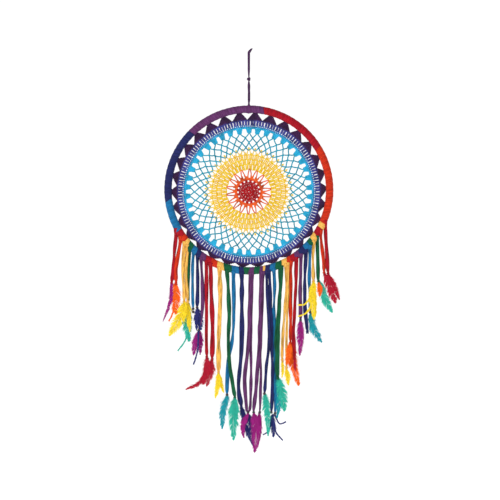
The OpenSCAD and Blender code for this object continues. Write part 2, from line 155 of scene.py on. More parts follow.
# Feathers: strand, colour, half width, depth, then quill end, middle and tip as (x, z)
FEATHERS = [
    (1, "orange", 14, -3, [(-181, -582), (-181, -614), (-182, -653)]),
    (1, "magenta", 5, 0, [(-191.5, -582), (-196, -628), (-213, -673)]),
    (1, "orange", 1.5, 3, [(-184, -600), (-187, -645), (-198, -671)]),
    (1, "lemon", 15, -5.4, [(-160, -628), (-171, -663), (-197, -708)]),
    (1, "lemon", 8, 2.4, [(-151.5, -628), (-149, -660), (-146, -698)]),
    (1, "turquoise", 13, 5, [(-150.5, -634), (-154, -678), (-148, -722)]),
    (1, "turquoise", 1.5, 8, [(-148, -690), (-158, -720), (-176, -745)]),
    (3, "navy", 10.5, -3, [(-126.5, -643), (-122, -666), (-119, -693)]),
    (3, "navy", 6, -6, [(-128, -643), (-130, -668), (-129, -694)]),
    (3, "magenta", 9, 0, [(-125, -700), (-132, -726), (-137, -756)]),
    (3, "magenta", 7, 3, [(-121.5, -699), (-119.5, -724), (-121, -755)]),
    (3, "navy", 1.5, -3, [(-124.5, -700), (-127, -745), (-137, -778)]),
    (4, "crimson", 11, -3, [(-104, -765), (-103, -795), (-114, -828)]),
    (4, "crimson", 10, 0, [(-92, -770), (-94.5, -797), (-105, -833)]),
    (4, "crimson", 7.5, 3, [(-103, -770), (-116, -818), (-157, -841)]),
    (5, "lemon", 7.5, -1, [(-75.5, -804), (-77.5, -832), (-83, -862)]),
    (5, "lemon", 6, 2, [(-74, -804), (-69, -826), (-62, -849)]),
    (6, "turquoise", 14, -3, [(-35, -866), (-38, -908), (-38, -966)]),
    (6, "turquoise", 5, -6, [(-34, -868), (-30.5, -888), (-29, -914)]),
    (6, "teal", 10, 1.2, [(-54.5, -859), (-64, -896), (-66, -939)]),
    (7, "magenta", 7, -6, [(-4, -903), (-15, -930), (-12, -960)]),
    (7, "navy", 8, 6, [(-17, -889), (-6, -938), (16, -989)]),
    (7, "navy", 9, 3, [(-1, -903), (6, -932), (12, -966)]),
    (7, "magenta", 13, -3, [(13, -903), (18, -940), (14, -996.5)]),
    (7, "magenta", 7, 0, [(26, -903), (26.5, -938), (22, -985)]),
    (8, "turquoise", 10, -3, [(40, -856), (45, -901), (48, -956)]),
    (8, "navy", 8, 2.4, [(59, -906), (60, -930), (61, -959)]),
    (8, "navy", 2, 5.4, [(56, -912), (50, -941), (35.5, -953)]),
    (8, "navy", 1.5, 5.4, [(66, -906), (76, -925), (92, -921)]),
    (8, "navy", 1.5, -0.6, [(60, -915), (67, -945), (84, -966)]),
    (8, "turquoise", 12, -4, [(74.5, -817), (83.5, -854), (88, -894)]),
    (8, "teal", 9, 0, [(73, -817), (76, -862), (70, -912)]),
    (9, "lemon", 7, 0, [(93, -791), (96, -807), (98, -830)]),
    (9, "lemon", 4.5, -1, [(83, -772), (84, -791), (82, -812)]),
    (9, "orange", 8, -5.2, [(101, -729), (98.5, -752), (93, -779)]),
    (9, "orange", 13, 4.6, [(104, -730), (110, -774), (124, -832)]),
    (9, "crimson", 4, 0, [(113.5, -768), (114, -780), (115, -796)]),
    (10, "magenta", 9.5, 0, [(128, -674), (127.5, -713), (126, -757)]),
    (10, "teal", 11.5, 3, [(153.5, -655), (160, -689), (181, -724)]),
    (10, "lemon", 10, -4.6, [(160, -578), (156.5, -612), (161, -668)]),
    (10, "lemon", 6, 0.6, [(161, -579), (163, -622), (165, -662)]),
    (10, "lemon", 1.5, -6.9, [(152, -612), (138, -629), (121, -631)]),
    (10, "lemon", 1.5, -6.9, [(153, -636), (140, -652), (121, -659)]),
    (11, "orange", 6.5, -1, [(173, -578), (175.5, -592), (175, -610)]),
    (11, "turquoise", 11.5, 3, [(175, -577), (188, -614), (207, -650)]),
    (11, "crimson", 11, -3, [(189, -558), (202, -592), (215, -627)]),
    (11, "crimson", 8, 0, [(198, -559), (212, -588), (225, -619)]),
]

# Colours of cloth and yarn as they look in daylight, as red, green and blue out of 255
JERSEY = {
    "purple": (101, 51, 103), "crimson": (172, 10, 31), "vermilion": (210, 48, 15),
    "blue": (23, 112, 165), "navy": (33, 39, 96), "yellow": (252, 190, 90), "green": (12, 94, 58),
}
PLUMES = {
    "orange": (252, 98, 8), "lemon": (252, 216, 36), "turquoise": (42, 180, 156),
    "teal": (12, 150, 164), "magenta": (152, 18, 120), "crimson": (178, 6, 42), "navy": (34, 40, 108),
}

# The web's rounds: radii in mm, then the columns of the yellow rounds and the net, and the triangles
CENTRE_R = 24
ORANGE_R = 34
PETALS, PETAL_R = 18, 57
YELLOW_ROUNDS = [(55.5, 68), (67.5, 80), (79.5, 92)]
YELLOW_R = YELLOW_ROUNDS[-1][1]
NET_ROUNDS = (101.5, 111.5, 123.5, 135, 147)
NET_R = 160.5
BORDER_R = 178
COLUMNS = 42
COLUMN_HALF = 180 / COLUMNS
TRIANGLES = 30

# ---------------------------------------------------------------- meshes


class Shape:
    """Gathers tubes and strips into one mesh with a uv layer."""

    def __init__(self):
        """An empty shape."""
        self.points, self.faces, self.uvs = [], [], []
        self.used = 0

    def grid(self, rows, uv_rows, wrap):
        """Rows of points joined into faces. uv_rows has one more column than rows where they wrap."""
        m, n = rows.shape[:2]
        index = self.used + np.arange(m * n).reshape(m, n)
        if wrap:
            index = np.concatenate([index, index[:, :1]], axis=1)
        quads = np.stack([index[:-1, :-1], index[:-1, 1:], index[1:, 1:], index[1:, :-1]], axis=-1)
        corners = np.stack([uv_rows[:-1, :-1], uv_rows[:-1, 1:], uv_rows[1:, 1:], uv_rows[1:, :-1]], axis=2)
        self.points.append(rows.reshape(-1, 3))
        self.faces += quads.reshape(-1, 4).tolist()
        self.uvs.append(corners.reshape(-1, 2))
        self.used += m * n
        return index

    def cap(self, loop):
        """One face over a ring of points."""
        self.faces.append([int(i) for i in loop])
        self.uvs.append(np.zeros((len(loop), 2)))

    def made(self, name, material, slot=None):
        """The finished object."""
        mesh = bpy.data.meshes.new(name)
        mesh.from_pydata(np.concatenate(self.points).tolist(), [], self.faces)
        layer = mesh.uv_layers.new(name="Cloth")
        layer.data.foreach_set("uv", np.concatenate(self.uvs).astype(np.float32).ravel())
        mesh.polygons.foreach_set("use_smooth", [True] * len(mesh.polygons))
        mesh.materials.append(material)
        mesh.update()
        thing = bpy.data.objects.new(name, mesh)
        bpy.context.scene.collection.objects.link(thing)
        return thing


def lengths(path):
    """Distance along a path at each of its points."""
    steps = np.linalg.norm(np.diff(path, axis=0), axis=1)
    return np.concatenate([[0.0], np.cumsum(steps)])


def directions(path, hint, closed=False):
    """Sideways and hint-ward unit vectors at each point of a path."""
    if closed:
        along = np.roll(path, -1, axis=0) - np.roll(path, 1, axis=0)
    else:
        along = np.gradient(path, axis=0)
    along /= np.linalg.norm(along, axis=1)[:, None]
    side = np.cross(along, hint)
    side /= np.linalg.norm(side, axis=1)[:, None]
    return side, np.cross(side, along)


def tube(shape, path, radius, sides=6, hint=FRONT_BACK, flat=1.0, closed=False):
    """A round or flattened tube along a path, its radius one number or one for each point."""
    side, out = directions(path, hint, closed)
    radius = np.broadcast_to(radius, len(path))[:, None, None]
    turn = np.linspace(0, 2 * math.pi, sides, endpoint=False)
    rows = path[:, None, :] + radius * (
        np.cos(turn)[None, :, None] * side[:, None, :] + flat * np.sin(turn)[None, :, None] * out[:, None, :]
    )
    along = lengths(path)
    if closed:
        rows = np.concatenate([rows, rows[:1]])
        along = np.append(along, along[-1] + along[1])
    reach = 2 * math.pi * float(np.max(radius))
    uv = np.stack(np.meshgrid(np.linspace(0, 1, sides + 1), along / reach), axis=-1)
    index = shape.grid(rows, uv, wrap=True)
    if not closed:
        shape.cap(index[0, :sides][::-1])
        shape.cap(index[-1, :sides])


def resampled(path, step):
    """The same path with points about one step apart."""
    along = lengths(path)
    count = max(3, int(round(along[-1] / step)) + 1)
    at = np.linspace(0, along[-1], count)
    return np.stack([np.interp(at, along, path[:, k]) for k in range(3)], axis=1)


def rope(shape, path, strand_r, pitch, spread, sides=5, closed=False, phase=0.0, fineness=5):
    """Two strands of yarn twisted about a path."""
    line = resampled(path, pitch / fineness)
    if closed:
        line = line[:-1]
    side, out = directions(line, FRONT_BACK, closed)
    along = lengths(line)
    turns = along / pitch
    if closed:
        whole = max(1, round((along[-1] + along[1]) / pitch))
        turns = along / (along[-1] + along[1]) * whole
    for strand in (0, 1):
        a = (2 * math.pi * turns + math.pi * strand + phase)[:, None]
        tube(shape, line + spread * (np.cos(a) * side + np.sin(a) * out), strand_r, sides, closed=closed)


def smooth(points, sub_n):
    """A smooth curve through points, with sub_n short steps between each two of them."""
    p = np.array(points, float)
    p = np.concatenate([p[:1], p, p[-1:]])
    out = []
    for i in range(1, len(p) - 2):
        a, b, c, d = p[i - 1 : i + 3]
        square = 2 * a - 5 * b + 4 * c - d
        cube = 3 * b - a - 3 * c + d
        for s in range(sub_n):
            u = s / sub_n
            out.append(0.5 * (2 * b + (c - a) * u + square * u**2 + cube * u**3))
    out.append(p[-1])
    return np.array(out)


def drift(rng, at, waves, size):
    """A slow wandering value along at, made of a few sine waves."""
    total = np.zeros_like(at)
    for k in range(1, waves + 1):
        total += math.sqrt(1 / k) * np.sin(2 * math.pi * (k * at * rng.uniform(0.7, 1.3) + rng.random()))
    return size * total / waves**0.5


# ---------------------------------------------------------------- materials


def linear(rgb):
    """A colour out of 255 as Blender's linear colour."""
    return tuple((c / 255 / 12.92) if c < 10.3 else ((c / 255 + 0.055) / 1.055) ** 2.4 for c in rgb) + (1.0,)


def scaled(colour, by):
    """A linear colour made lighter or darker."""
    return tuple(min(1.0, c * by) for c in colour[:3]) + (1.0,)


class Paint:
    """A material whose nodes are added one by one."""

    def __init__(self, name, roughness, sheen=0.0, specular=0.5):
        """A plain principled material."""
        self.material = bpy.data.materials.new(name)
        self.material.use_nodes = True
        self.tree = self.material.node_tree
        self.shader = self.tree.nodes["Principled BSDF"]
        self.shader.inputs["Roughness"].default_value = roughness
        self.shader.inputs["Sheen Weight"].default_value = sheen
        self.shader.inputs["Specular IOR Level"].default_value = specular

    def node(self, kind, **settings):
        """A new node. A setting names one of its inputs by label, or else one of its own properties."""
        made = self.tree.nodes.new(kind)
        for key, value in settings.items():
            if key in made.inputs:
                made.inputs[key].default_value = value
            else:
                setattr(made, key, value)
        return made

    def join(self, out, into):
        """Link one node's output to another's input."""
        self.tree.links.new(out, into)

    def uv(self, turn=0.0, scale=(1, 1, 1)):
        """The cloth's own uv, turned and scaled."""
        source = self.node("ShaderNodeUVMap", uv_map="Cloth")
        place = self.node("ShaderNodeMapping")
        place.inputs["Rotation"].default_value = (0, 0, turn)
        place.inputs["Scale"].default_value = scale
        self.join(source.outputs["UV"], place.inputs["Vector"])
        return place.outputs["Vector"]

    def solid(self):
        """Coordinates fixed to the piece, in metres."""
        return self.node("ShaderNodeTexCoord").outputs["Object"]

    def noise(self, vector, scale, detail=3.0):
        """A noise texture's value."""
        made = self.node("ShaderNodeTexNoise", Scale=scale, Detail=detail)
        self.join(vector, made.inputs["Vector"])
        return made.outputs["Fac"]

    def wave(self, vector, scale, distortion=0.0):
        """A texture of even stripes."""
        made = self.node("ShaderNodeTexWave", Scale=scale, Distortion=distortion)
        self.join(vector, made.inputs["Vector"])
        return made.outputs["Fac"]

    def colours(self, factor, stops):
        """The base colour runs through stops, pairs of place and colour."""
        ramp = self.node("ShaderNodeValToRGB")
        self.join(factor, ramp.inputs["Fac"])
        ends = ramp.color_ramp.elements
        while len(ends) < len(stops):
            ends.new(0.5)
        for end, (place, colour) in zip(ends, stops):
            end.position = place
            end.color = colour
        self.join(ramp.outputs["Color"], self.shader.inputs["Base Color"])
        return ramp.outputs["Color"]

    def bumps(self, *layers):
        """Bumps one over another, each a height, its distance and its strength."""
        under = None
        for height, distance, strength in layers:
            bump = self.node("ShaderNodeBump", Distance=distance, Strength=strength)
            self.join(height, bump.inputs["Height"])
            if under:
                self.join(under, bump.inputs["Normal"])
            under = bump.outputs["Normal"]
        self.join(under, self.shader.inputs["Normal"])


def jersey(name, rgb, dark=0.62, light=1.28):
    """Cut T-shirt jersey: fine ribs along the strip, lint, and creases that run down it, with painted shade in
    the creases and painted highlights on the folds between them.
    """
    paint = Paint(name, 0.85, sheen=0.04, specular=0.22)
    base = linear(rgb)
    ribs = paint.wave(paint.uv(scale=(11, 0.6, 1)), 1.0, 0.6)
    lint = paint.noise(paint.solid(), 900)
    creases = paint.noise(paint.uv(scale=(1.8, 0.14, 1)), 2.2, 1.0)
    # Painted shade and highlight: the crease pattern darkens the colour by dark in the creases and lightens it
    # by light on the folds; the same pattern also drives the crease bump.
    paint.colours(creases, [(0.3, scaled(base, dark)), (0.52, base), (0.75, scaled(base, light))])
    paint.bumps((creases, 0.0016, 0.6), (ribs, 0.00022, 0.5), (lint, 0.00012, 0.4))
    return paint.material


def yarn(name, rgb, light=1.35, dark=0.6, patch=55, deep=None):
    """Mercerised crochet cotton: twisted plies, a little shine, and a shade that drifts between stitches."""
    paint = Paint(name, 0.6, sheen=0.03, specular=0.3)
    base = linear(rgb)
    plies = paint.wave(paint.uv(turn=math.radians(38), scale=(2.0, 2.0, 1)), 1.0, 0.3)
    shade = paint.noise(paint.solid(), patch)
    fuzz = paint.noise(paint.solid(), 1800)
    low = linear(deep) if deep else scaled(base, dark)
    paint.colours(shade, [(0.3, low), (0.5, base), (0.72, scaled(base, light))])
    paint.bumps((plies, 0.00025, 0.7), (fuzz, 0.0001, 0.35))
    return paint.material


def plume(name, rgb):
    """Dyed feather: each barb its own tone, with painted shade darkening it towards the shaft, and a faint
    painted glow standing in for light through it from behind.
    """
    paint = Paint(name, 0.65, sheen=0.05, specular=0.22)
    base = linear(rgb)
    place = paint.uv(scale=(0.4, 6, 1))
    barbs = paint.noise(place, 3.0, 2.0)
    parts = paint.node("ShaderNodeSeparateXYZ")
    paint.join(place, parts.inputs["Vector"])
    # Painted shade: each barb's uv runs from the shaft out to its tip, so the colour darkens towards the shaft;
    # the noise adds each barb's own tone.
    tone_and_shaft_shade = paint.node("ShaderNodeMath", operation="MULTIPLY_ADD")
    paint.join(parts.outputs["X"], tone_and_shaft_shade.inputs[0])
    tone_and_shaft_shade.inputs[1].default_value = 0.6
    paint.join(barbs, tone_and_shaft_shade.inputs[2])
    colour = paint.colours(
        tone_and_shaft_shade.outputs[0], [(0.36, scaled(base, 0.42)), (0.6, base), (0.86, scaled(base, 1.3))]
    )
    barbules = paint.wave(paint.uv(scale=(14, 1, 1)), 1.0, 0.4)
    paint.bumps((barbules, 0.00012, 0.5))
    # Painted glow: the feather's colour also glows faintly, standing in for light shining through it from
    # behind.
    paint.join(colour, paint.shader.inputs["Emission Color"])
    paint.shader.inputs["Emission Strength"].default_value = 0.05
    return paint.material


def bead_wood():
    """Near-black lacquered wood with a faint grain."""
    paint = Paint("dark_bead", 0.28, specular=0.6)
    grain = paint.wave(paint.solid(), 240, 4.0)
    paint.colours(grain, [(0.0, (0.010, 0.009, 0.012, 1)), (1.0, (0.045, 0.036, 0.050, 1))])
    paint.bumps((grain, 0.00008, 0.3))
    return paint.material


def cane():
    """Pale peeled cane with a long grain."""
    paint = Paint("cane", 0.6)
    grain = paint.wave(paint.solid(), 120, 6.0)
    paint.colours(grain, [(0.0, (0.33, 0.20, 0.09, 1)), (1.0, (0.60, 0.42, 0.22, 1))])
    paint.bumps((grain, 0.0002, 0.3))
    return paint.material


def backdrop():
    """White studio paper with a faint tooth."""
    paint = Paint("studio_paper", 0.9)
    tooth = paint.noise(paint.solid(), 40)
    paint.colours(tooth, [(0.3, (0.93, 0.93, 0.93, 1)), (0.7, (0.97, 0.97, 0.97, 1))])
    paint.bumps((tooth, 0.0005, 0.1))
    paint.shader.inputs["Emission Color"].default_value = (1, 1, 1, 1)
    paint.shader.inputs["Emission Strength"].default_value = 0.75
    return paint.material


# ---------------------------------------------------------------- camera, light and floor


def make_camera():
    """Straight on from the front, far enough to flatten the view."""
    camera = bpy.data.objects.new("camera", bpy.data.cameras.new("camera"))
    bpy.context.scene.collection.objects.link(camera)
    camera.data.lens = 100
    camera.data.sensor_width = 36
    camera.data.clip_end = 60
    camera.location = (2.85 * MM, -3.4375, -0.495)
    camera.rotation_euler = (math.radians(90), 0, 0)
    bpy.context.scene.camera = camera


def area_light(name, place, aim, size, power, warmth=(1, 1, 1)):
    """A soft square lamp at place, turned towards aim."""
    lamp = bpy.data.lights.new(name, "AREA")
    lamp.size = size
    lamp.energy = power
    lamp.color = warmth
    thing = bpy.data.objects.new(name, lamp)
    bpy.context.scene.collection.objects.link(thing)
    thing.location = place
    away = np.array(place, float) - np.array(aim, float)
    thing.rotation_euler = (
        math.acos(away[2] / np.linalg.norm(away)),
        0,
        math.atan2(away[1], away[0]) + math.radians(90),
    )


def make_studio():
    """White all round for the camera, softer for the light it gives, with three lamps and a floor."""
    world = bpy.data.worlds.new("studio")
    bpy.context.scene.world = world
    world.use_nodes = True
    tree = world.node_tree
    soft = tree.nodes["Background"]
    soft.inputs["Color"].default_value = (1, 1, 1, 1)
    soft.inputs["Strength"].default_value = 0.38
    seen = tree.nodes.new("ShaderNodeBackground")
    seen.inputs["Color"].default_value = (1, 1, 1, 1)
    seen.inputs["Strength"].default_value = 1.05
    rays = tree.nodes.new("ShaderNodeLightPath")
    pick = tree.nodes.new("ShaderNodeMixShader")
    tree.links.new(rays.outputs["Is Camera Ray"], pick.inputs[0])
    tree.links.new(soft.outputs[0], pick.inputs[1])
    tree.links.new(seen.outputs[0], pick.inputs[2])
    tree.links.new(pick.outputs[0], tree.nodes["World Output"].inputs["Surface"])

    aim = (0, 0, -0.45)
    area_light("key", (-1.5, -2.0, 1.1), aim, 1.2, 38)
    area_light("fill", (2.0, -1.9, -0.3), aim, 1.8, 8)
    area_light("rim", (0.6, 1.8, 1.0), aim, 1.4, 12)

    floor = Shape()
    half, level = 6.0, -1.6
    corners = np.array([[[x, y, level] for x in (-half, half)] for y in (-half, half)])
    uv = np.array([[[0, 0], [1, 0]], [[0, 1], [1, 1]]], float)
    floor.grid(corners, uv, wrap=False)
    floor.made("floor", backdrop())

    view = bpy.context.scene.view_settings
    view.view_transform = "Standard"
    view.look = "None"


# ---------------------------------------------------------------- ribbons


def under_ring(x):
    """Height of the wrapped ring's underside at x."""
    return RING_Z - math.sqrt((RING_R + TUBE_R + 0.5 * MM) ** 2 - x * x)


def nearest(place, places, limit):
    """The closest of some places, seen from the front, or None if none is within the limit."""
    off = [math.hypot(p[0] - place[0], p[2] - place[2]) for p in places]
    return places[off.index(min(off))] if off and min(off) < limit else None


def ribbon_path(top_x, depth, route, ends):
    """A ribbon's middle line: down the front of the wrapped tube, under it, along its route to its knot."""
    x = top_x * MM
    tube_z = RING_Z - math.sqrt(RING_R**2 - min(abs(x), RING_R * 0.97) ** 2)
    low_z = under_ring(x)
    reach = TUBE_R + 0.4 * MM
    over = []
    for share in (0.35, 0.5, 0.65, 0.8, 0.92):
        z = tube_z + share * (low_z - tube_z)
        off = min(reach, abs(math.hypot(x, z - RING_Z) - RING_R))
        over.append((x, -math.sqrt(reach**2 - off**2), z))
    y = depth * MM
    low = (x, min(y, 0) - 0.6 * MM, low_z - 1.5 * MM)
    flat = smooth([(top_x, low_z / MM)] + route, 14) * MM
    hung = [(px, y, pz) for px, pz in flat if pz < low_z - 7 * MM]
    tied = nearest(hung[-1], ends, 12 * MM)
    if tied is not None:
        hung.append((tied[0], tied[1], tied[2] + 1.2 * MM))
    return resampled(smooth(over + [low] + hung, 2), 2.4 * MM)


def curl(width, depth, thick, open_angle, count=9):
    """Cross-section of a strip whose edges curl back, as (sideways, backwards) points round its outline."""
    a = np.linspace(-open_angle, open_angle, count)
    span = max(math.sin(min(open_angle, math.pi / 2)), 0.3)
    out, back = np.sin(a) / span, 1 - np.cos(a)
    face = np.stack([width / 2 * out, depth * back], axis=1)
    inner = np.stack([(width / 2 - thick) * out, thick + (depth - thick) * back], axis=1)
    return np.concatenate([face, inner[::-1]])


def strip(shape, path, width, thick, depth, twist, openness, hint=FRONT_BACK):
    """A curled strip swept along a path. width, depth, twist and openness have a value for each point."""
    side, out = directions(path, hint)
    rows = []
    for p, s, o, w, d, t, a in zip(path, side, out, width, depth, twist, openness):
        outline = curl(w, d, thick, a)
        across = math.cos(t) * s + math.sin(t) * o
        behind = math.cos(t) * o - math.sin(t) * s
        middle_depth = outline[:, 1].mean()
        rows.append(p + outline[:, :1] * across + (outline[:, 1:] - middle_depth) * behind)
    rows = np.array(rows)
    n = rows.shape[1]
    around = np.linspace(0, 2, n + 1)
    uv = np.stack(np.meshgrid(around, lengths(path) / CLOTH_REPEAT), axis=-1)
    index = shape.grid(rows, uv, wrap=True)
    half = n // 2
    for ring, flip in ((index[0, :n], False), (index[-1, :n], True)):
        for k in range(half - 1):
            quad = [ring[k], ring[n - 1 - k], ring[n - 2 - k], ring[k + 1]]
            shape.cap(quad[::-1] if flip else quad)


def make_ribbon(number, strand, colour, width, depth, top_x, route, ends, cloths):
    """One hanging jersey ribbon: wide and flat by the wrapping, curled and turning lower down."""
    rng = np.random.default_rng(100 + number)
    path = ribbon_path(top_x, depth, route, ends)
    at = lengths(path) / lengths(path)[-1]
    far = lengths(path)
    settle = np.clip(far / (26 * MM), 0, 1)
    slack = np.clip((far[-1] - far) / (12 * MM), 0, 1)
    wide = width * MM * (1.06 + drift(rng, at * far[-1] / 0.17, 2, 0.13))
    wide = wide * (1.08 - 0.08 * settle) * (0.36 + 0.64 * slack**0.7)
    wide = np.minimum(wide, width * MM * 1.18)
    twist = drift(rng, at * far[-1] / 0.2, 2, math.radians(40)) * settle * slack
    openness = math.radians(42) + math.radians(56) * settle + drift(rng, at * far[-1] / 0.1, 2, 0.22) * settle
    deep = (0.5 + 1.5 * settle + drift(rng, at * far[-1] / 0.09, 2, 0.35) * settle) * MM
    shape = Shape()
    strip(shape, path, wide, 0.8 * MM, deep, twist, openness)
    name = f"strand_{strand}_ribbon_{number}"
    ribbon = shape.made(name, cloths[colour], f"{colour}_jersey")
    return ribbon, path


def make_ribbons(cloths):
    """Every ribbon, each running from the ring down to its strand. Returns each with its path, strand and
    width.
    """
    made = []
    for number, (strand, colour, width, depth, top_x, route) in enumerate(RIBBONS, 1):
        ends = [np.array(place) * MM for s, _, place in BEADS if s == strand]
        ribbon, path = make_ribbon(number, strand, colour, width, depth, top_x, route, ends, cloths)
        body = f"strand_{strand}"
        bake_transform(ribbon)
        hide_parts(f"{body}_ribbons")
        made.append((ribbon, path, strand, width))
    return made


# ---------------------------------------------------------------- knots and beads


def knot(shape, centre, size, yarn_r, lean):
    """A tied knot, as a three-crossing loop of strip."""
    t = np.linspace(0, 2 * math.pi, 48, endpoint=False)
    x = (np.sin(t) + 2 * np.sin(2 * t)) / 3
    z = (np.cos(t) - 2 * np.cos(2 * t)) / 3
    y = -np.sin(3 * t) / 2.4
    c, s = math.cos(lean), math.sin(lean)
    turned = np.stack([c * x - s * z, y, s * x + c * z], axis=1)
    tube(shape, np.array(centre) + size * turned, yarn_r, 8, closed=True)


def knot_tails(shape, centre, rng):
    """The two cut ends of strip that come out below a knot."""
    for hand in (-1, 1):
        reach = rng.uniform(1.6, 3.2) * hand * MM
        drop = rng.uniform(4.6, 6.4) * MM
        t = np.linspace(0, 1, 6)[:, None]
        path = np.array(centre) + t * np.array([reach, -1.2 * MM, 0]) + t**1.5 * np.array([0, 0, -drop])
        wide = 3.2 * MM * np.array([0.6, 0.8, 0.95, 1.0, 1.0, 0.9])
        even = np.ones(len(path))
        strip(shape, path, wide, 0.7 * MM, 0.9 * MM * even, rng.uniform(-0.5, 0.5) * even, 1.2 * even)


def bead(shape, centre, radius):
    """A round bead with its hole upright."""
    a = np.linspace(math.radians(20), math.radians(160), 12)
    profile = [(0.24, 0.80), *zip(np.sin(a), np.cos(a)), (0.24, -0.80)]
    turn = np.linspace(0, 2 * math.pi, 20, endpoint=False)
    rows = np.array(
        [[(r * math.cos(t), r * math.sin(t), z) for t in turn] for r, z in [*profile, profile[0]]]
    )
    uv = np.stack(np.meshgrid(np.linspace(0, 1, 21), np.linspace(0, 1, len(rows))), axis=-1)
    shape.grid(np.array(centre) + radius * rows, uv, wrap=True)


def make_beads(cloths, wood):
    """Knots of each ribbon's own cloth, and dark beads, one piece for each strand and colour."""
    groups = {}
    for strand, colour, place in BEADS:
        groups.setdefault((strand, colour), []).append(np.array(place) * MM)
    made = {}
    for (strand, colour), places in groups.items():
        shape = Shape()
        for k, place in enumerate(places):
            if colour == "black":
                bead(shape, place, 3.75 * MM)
            else:
                knot(shape, place, 2.6 * MM, 1.65 * MM, 0.5 + k)
                knot_tails(shape, place, np.random.default_rng(40 + 10 * strand + k))
        dark = colour == "black"
        thing = shape.made(
            f"strand_{strand}_{'beads' if dark else 'knots'}_{colour}",
            wood if dark else cloths[colour],
            "dark_bead" if dark else f"{colour}_jersey",
        )
        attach(thing, f"strand_{strand}")
        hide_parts(f"strand_{strand}_beads")
        made.setdefault(strand, []).append((thing, places))
    return made


# ---------------------------------------------------------------- feathers


# Distance between barbs, and the half widths in mm below which a feather is small or only a wisp
BARB_PITCH = 0.72 * MM
SMALL_FEATHER = 5
WISP = 3


def vane(t, half_w):
    """Half width of a feather at a fraction t of its length."""
    return half_w * np.sin(math.pi * t**0.85) ** 0.8


def barb(shape, root, across, along, out, reach, ahead, lift, wisp, wide, shade):
    """One barb: a narrow tapering strip that leaves the shaft sideways and bends towards the tip."""
    u = np.linspace(0, 1, 5)[:, None]
    line = root + across * (reach * u**0.9 + 0.4 * wisp) + along * ahead * u**1.2 + out * (lift * u**2 + wisp)
    broad = wide * np.array([0.7, 1.0, 1.0, 0.8, 0.1])[:, None]
    rows = np.stack([line - along * broad / 2, line + along * broad / 2], axis=1)
    uv = np.stack([np.repeat(u, 2, axis=1), np.full((5, 2), shade)], axis=-1)
    shape.grid(rows, uv, wrap=False)


def shaft_path(rng, route, depth, start):
    """A feather's shaft, from its knot where it has one, bowed a little to the front or the back."""
    if start is not None:
        route = [(start[0] / MM, start[2] / MM), *route]
    flat = smooth(route, 20) * MM
    t = np.linspace(0, 1, len(flat))
    bow = 2.2 * MM * np.sin(math.pi * t) * rng.choice([-1, 1]) + drift(rng, t, 2, 0.5 * MM) * t
    y = depth * MM + bow
    if start is not None:
        y = start[1] + (y - start[1]) * np.clip(t / 0.2, 0, 1)
    return np.stack([flat[:, 0], y, flat[:, 1]], axis=1)


def add_vane(shape, rng, path, half_w, bare, hand):
    """One side of a feather: close barbs that part into ragged locks, with loose down by the quill."""
    side, out = directions(path, FRONT_BACK)
    total = lengths(path)[-1]
    count = int(total * (1 - bare) / BARB_PITCH)
    left, lock_s, split, swing = 0, 0.0, 1.0, 0.0
    for k in range(count):
        s = bare + (1 - bare) * k / count
        if left == 0:
            left = int(rng.integers(3, 12))
            lock_s = s + 0.4 * left / count
            split = rng.uniform(0.78, 1.2)
            swing = rng.uniform(-0.16, 0.22)
        left -= 1
        share = (s - bare) / (1 - bare)
        down = max(0.0, 1 - share / 0.16) if half_w > SMALL_FEATHER else 0.0
        if half_w < WISP:
            half = (1.8 + 1.6 * (1 - s)) * MM
        else:
            half = max(float(vane(share, half_w * MM)), 0.45 * MM, 0.5 * half_w * MM * down)
        reach = half * split * rng.uniform(0.9, 1.04)
        ahead = reach * (1.05 + swing) + 0.2 * (lock_s - s) * total
        ahead = min(ahead, total * (1 - s) * 1.04 + 0.8 * MM)
        i = s * (len(path) - 1)
        j = min(int(i), len(path) - 2)
        step = path[j + 1] - path[j]
        wisp = down * np.sin(9 * np.linspace(0, 1, 5) + rng.uniform(0, 6))[:, None] * 1.1 * MM
        root = path[j] + (i - j) * step
        lift = rng.uniform(-0.6, 0.6) * MM + 0.14 * reach
        barb(shape, root, hand * side[j], step / np.linalg.norm(step), out[j], reach, ahead, lift, wisp,
             BARB_PITCH * (1.9 - 1.2 * down), rng.random())


def add_strays(shape, rng, path, half_w, bare):
    """Thin single barbs that curl out of both vanes."""
    side, out = directions(path, FRONT_BACK)
    for _ in range(int(lengths(path)[-1] / (1.5 * MM))):
        s = rng.uniform(bare + 0.03, 0.88)
        half = float(vane((s - bare) / (1 - bare), half_w * MM))
        j = min(int(s * (len(path) - 1)), len(path) - 2)
        step = path[j + 1] - path[j]
        reach = half * rng.uniform(0.9, 1.4) + 1.0 * MM
        curled = np.sin(np.linspace(0, 1, 5) * rng.uniform(2, 5))[:, None] * rng.uniform(-1.6, 1.6) * MM
        barb(shape, path[j], rng.choice([-1, 1]) * side[j], step / np.linalg.norm(step), out[j], reach,
             reach * rng.uniform(0.2, 1.7), rng.uniform(-1.5, 1.5) * MM, curled, 0.55 * MM, rng.random())


def make_feather(number, strand, colour, half_w, depth, route, start, plumes):
    """A feather: tapering quill and shaft, two vanes and their stray barbs."""
    rng = np.random.default_rng(500 + number)
    bare = 0.08 if start is None else 0.16
    path = shaft_path(rng, route, depth, start)
    shape = Shape()
    stem_r = (0.8 if half_w > SMALL_FEATHER else 0.55) * MM
    tube(shape, path, stem_r * (1 - 0.8 * np.linspace(0, 1, len(path))), 6)
    for hand in (-1, 1):
        add_vane(shape, rng, path, half_w, bare, hand)
    if half_w > WISP:
        add_strays(shape, rng, path, half_w, bare)
    thing = shape.made(f"strand_{strand}_feather_{number}", plumes[colour], f"feather_{colour}")
    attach(thing, f"strand_{strand}")
    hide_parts(f"strand_{strand}_feathers")
    return thing, path


